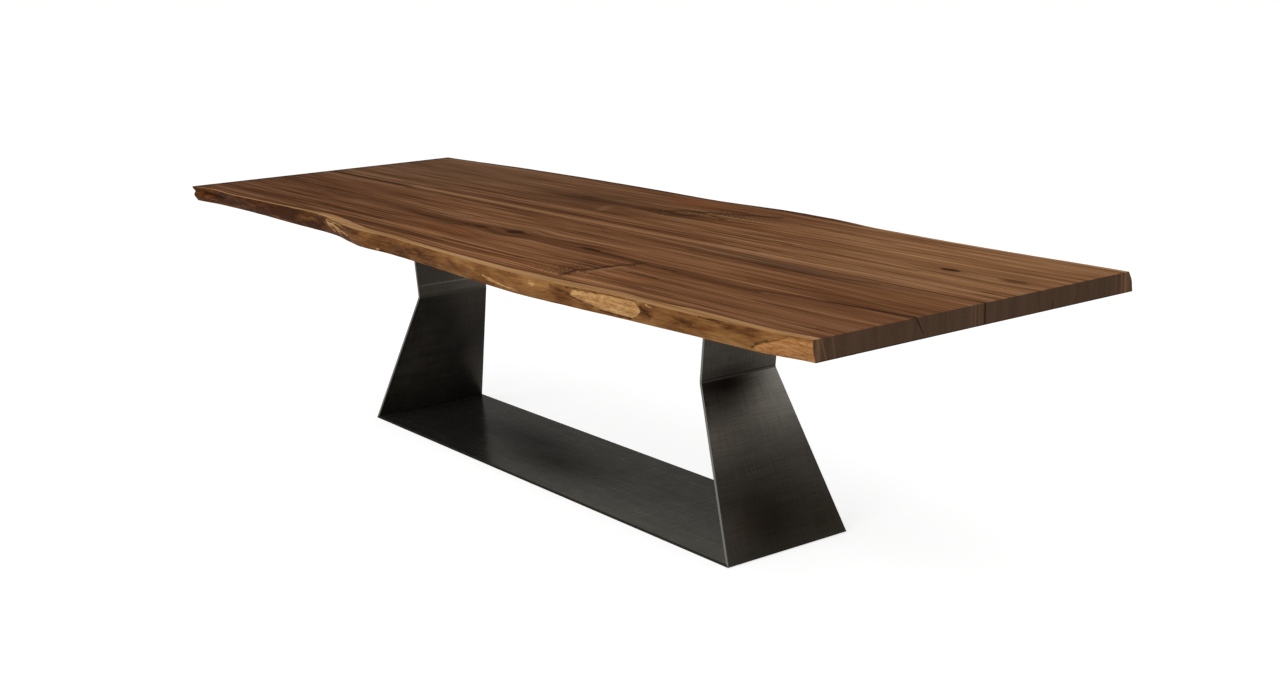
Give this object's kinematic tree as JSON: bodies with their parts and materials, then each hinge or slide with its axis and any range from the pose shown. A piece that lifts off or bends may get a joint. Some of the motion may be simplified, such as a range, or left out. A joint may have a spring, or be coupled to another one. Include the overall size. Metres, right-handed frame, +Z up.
{
  "type": "live edge dining table",
  "caption": "Long dining table with a top of two wide live edge walnut planks on a base of bent dark iron plate, joined by a floor plate.",
  "frame": {"origin": "on the floor, under the middle of the table", "axes": "+X along the table, +Y towards the rear long edge, +Z up"},
  "size_m": [3.1, 1.1218, 0.75],
  "materials": {
    "walnut": "oiled, with pale sapwood along the live edges",
    "beech": "raw",
    "iron_plate": "blackened, cross brushed and waxed",
    "painted_steel": "matt black paint",
    "zinc_steel": "zinc plated",
    "felt": "pressed felt"
  },
  "bodies": {
    "root": {"front_plank": "walnut", "rear_plank": "walnut", "seam_tenons": "beech", "left_stiffener": "painted_steel", "middle_stiffener": "painted_steel", "right_stiffener": "painted_steel", "stiffener_screws": "zinc_steel", "left_threaded_inserts": "zinc_steel", "right_threaded_inserts": "zinc_steel", "left_mount_plate": "iron_plate", "right_mount_plate": "iron_plate", "left_mount_washers": "zinc_steel", "right_mount_washers": "zinc_steel", "left_mount_bolts": "zinc_steel", "right_mount_bolts": "zinc_steel", "left_leg": "iron_plate", "right_leg": "iron_plate", "left_head_welds": "iron_plate", "right_head_welds": "iron_plate", "left_foot_weld": "iron_plate", "right_foot_weld": "iron_plate", "floor_plate": "iron_plate", "floor_pads": "felt"}
  },
  "joints": []
}
